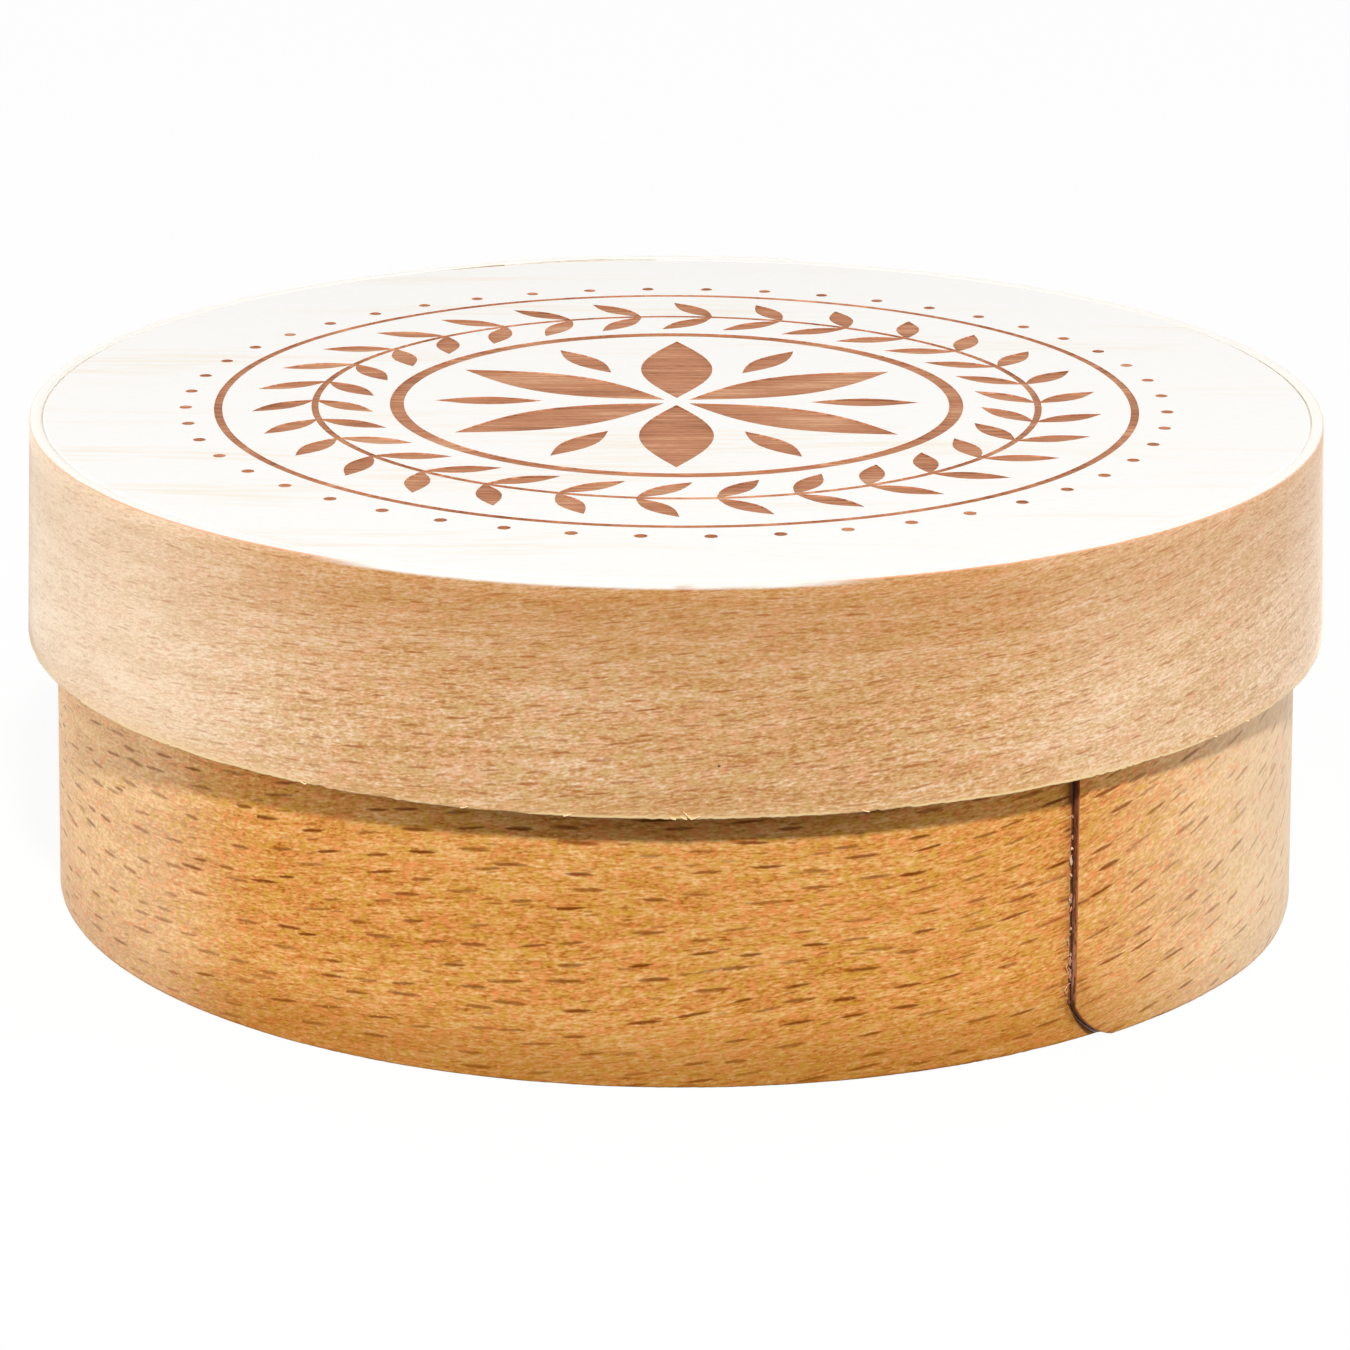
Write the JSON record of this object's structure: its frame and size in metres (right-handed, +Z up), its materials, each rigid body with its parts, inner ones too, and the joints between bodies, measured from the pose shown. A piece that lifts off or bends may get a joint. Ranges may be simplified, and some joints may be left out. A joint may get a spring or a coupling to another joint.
{
  "type": "cheese box",
  "caption": "Round bentwood box with a lapped veneer band, glued-in discs and a low slip-over lid that lifts off.",
  "frame": {"origin": "centre of the underside, on the surface that the box stands on", "axes": "+Z up along the axis of the box, -Y towards the front, with the base's seam to the right of it"},
  "size_m": [0.1118, 0.1129, 0.0415],
  "materials": {
    "base_disc_wood": "bare sanded veneered board",
    "base_band_wood": "bare beech veneer, warm orange brown with dark ray flecks",
    "lid_disc_wood": "bare sanded board, nearly white, with a burnt-in ornament",
    "lid_band_wood": "bare beech veneer, pale pinkish beige with fine flecks",
    "wood_glue": "dried wood glue, translucent and slightly glossy"
  },
  "bodies": {
    "base": {"base_disc": "base_disc_wood", "base_band": "base_band_wood", "base_rim_glue": "wood_glue", "base_lap_glue": "wood_glue"},
    "lid": {"lid_disc": "lid_disc_wood", "lid_band": "lid_band_wood", "lid_rim_glue": "wood_glue", "lid_lap_glue": "wood_glue"}
  },
  "joints": [
    {"name": "lid_lift", "type": "slide", "parent": "base", "child": "lid", "axis": [0, 0, 1], "range_m": [0, 0.06]}
  ]
}
